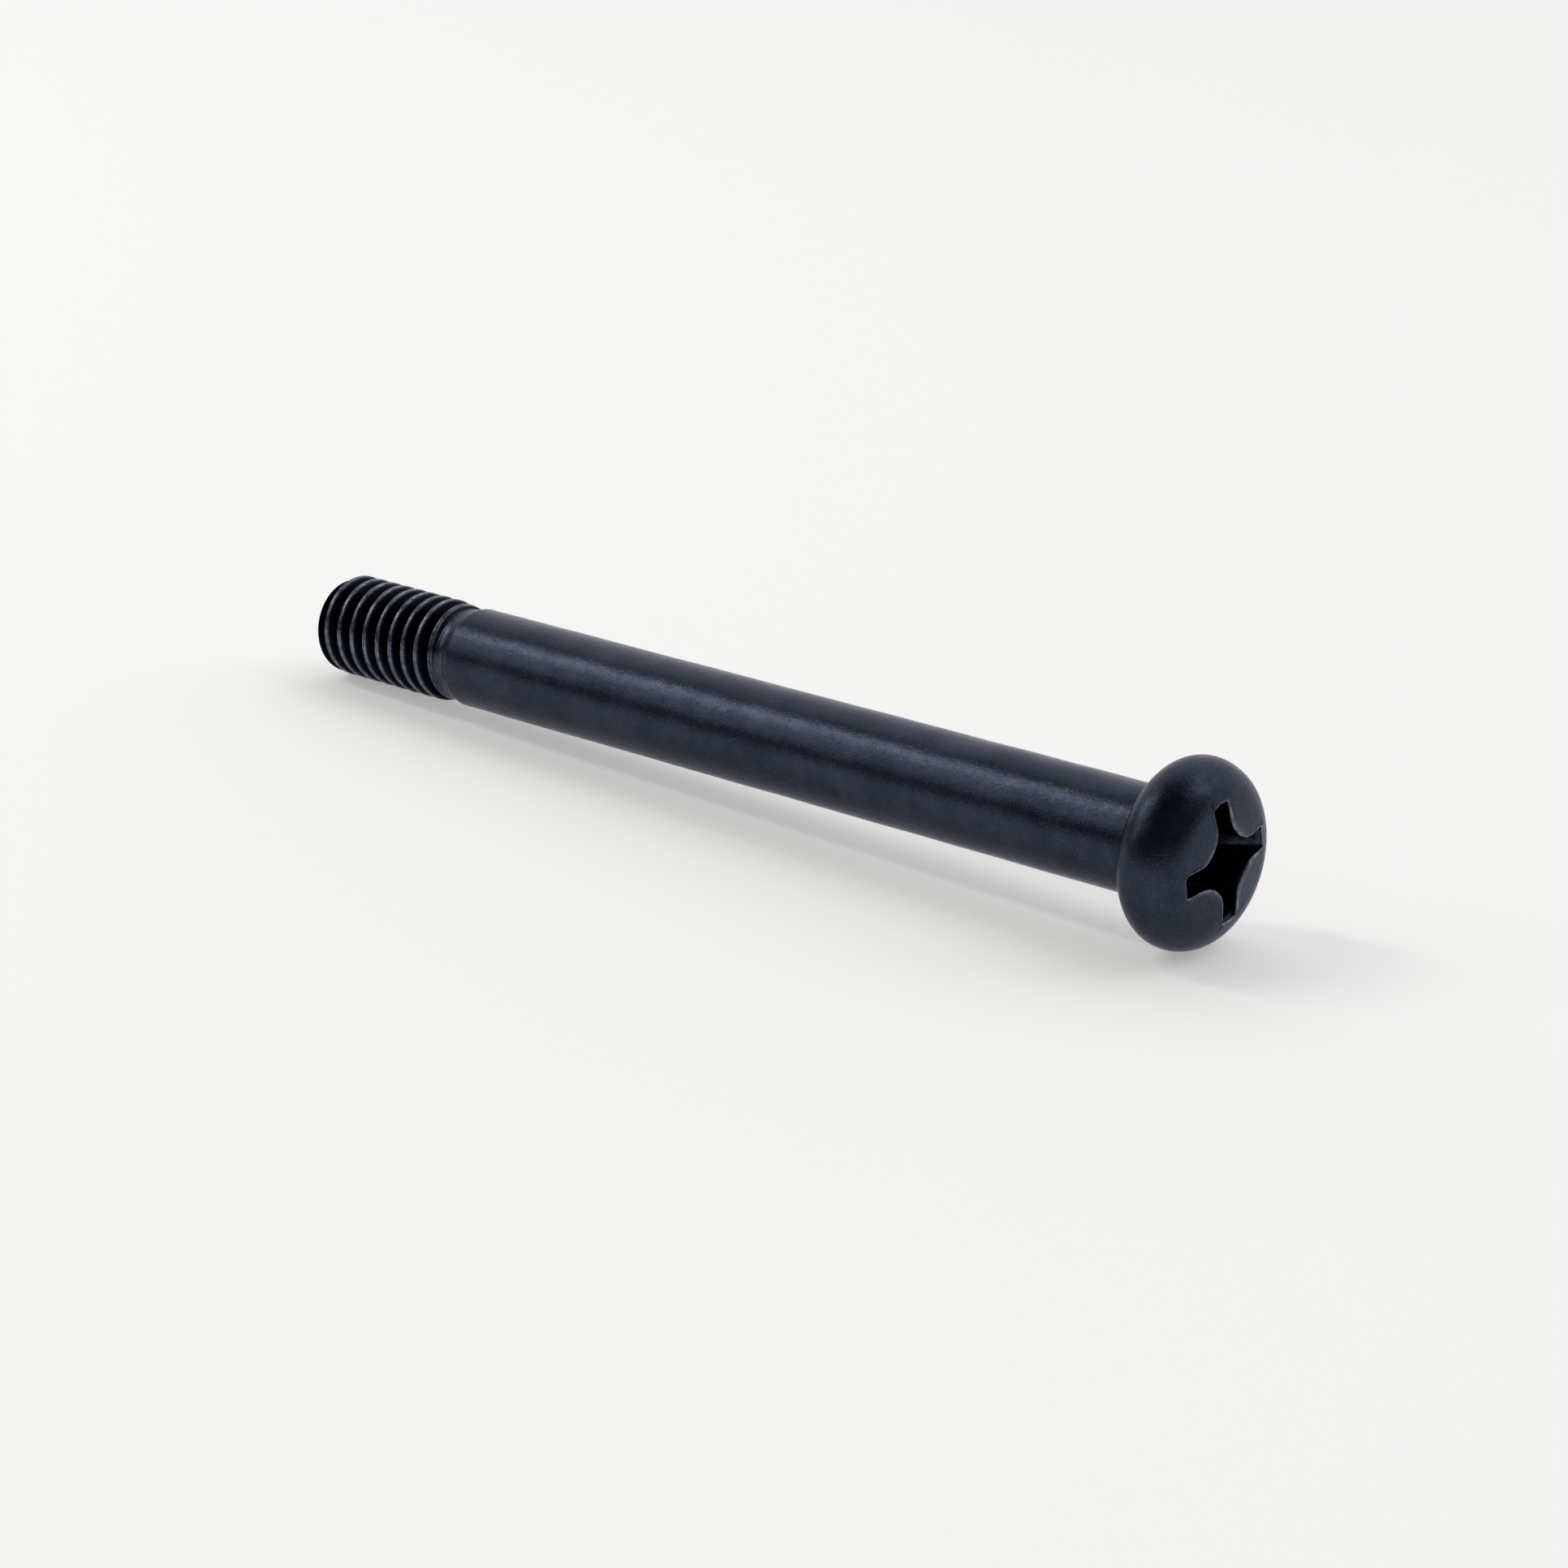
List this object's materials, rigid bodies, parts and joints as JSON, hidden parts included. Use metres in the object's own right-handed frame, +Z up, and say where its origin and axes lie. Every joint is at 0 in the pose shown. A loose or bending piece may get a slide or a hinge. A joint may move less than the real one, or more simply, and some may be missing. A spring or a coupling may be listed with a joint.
{
  "type": "cross-recess pan head screw",
  "caption": "Long pan-head machine screw with a cross recess, a plain shank and a short rolled thread at its far end.",
  "frame": {"origin": "centre of the flat bearing face under the head, on the screw's axis", "axes": "+X along the axis from the bearing face out through the head, so the shank and thread run towards -X; the screw lies level, +Z up"},
  "size_m": [0.0419, 0.0064, 0.0064],
  "materials": {
    "black_steel": "satin black conversion coating on steel, slightly blue, with fine mottling"
  },
  "bodies": {
    "root": {"screw": "black_steel"}
  },
  "joints": []
}
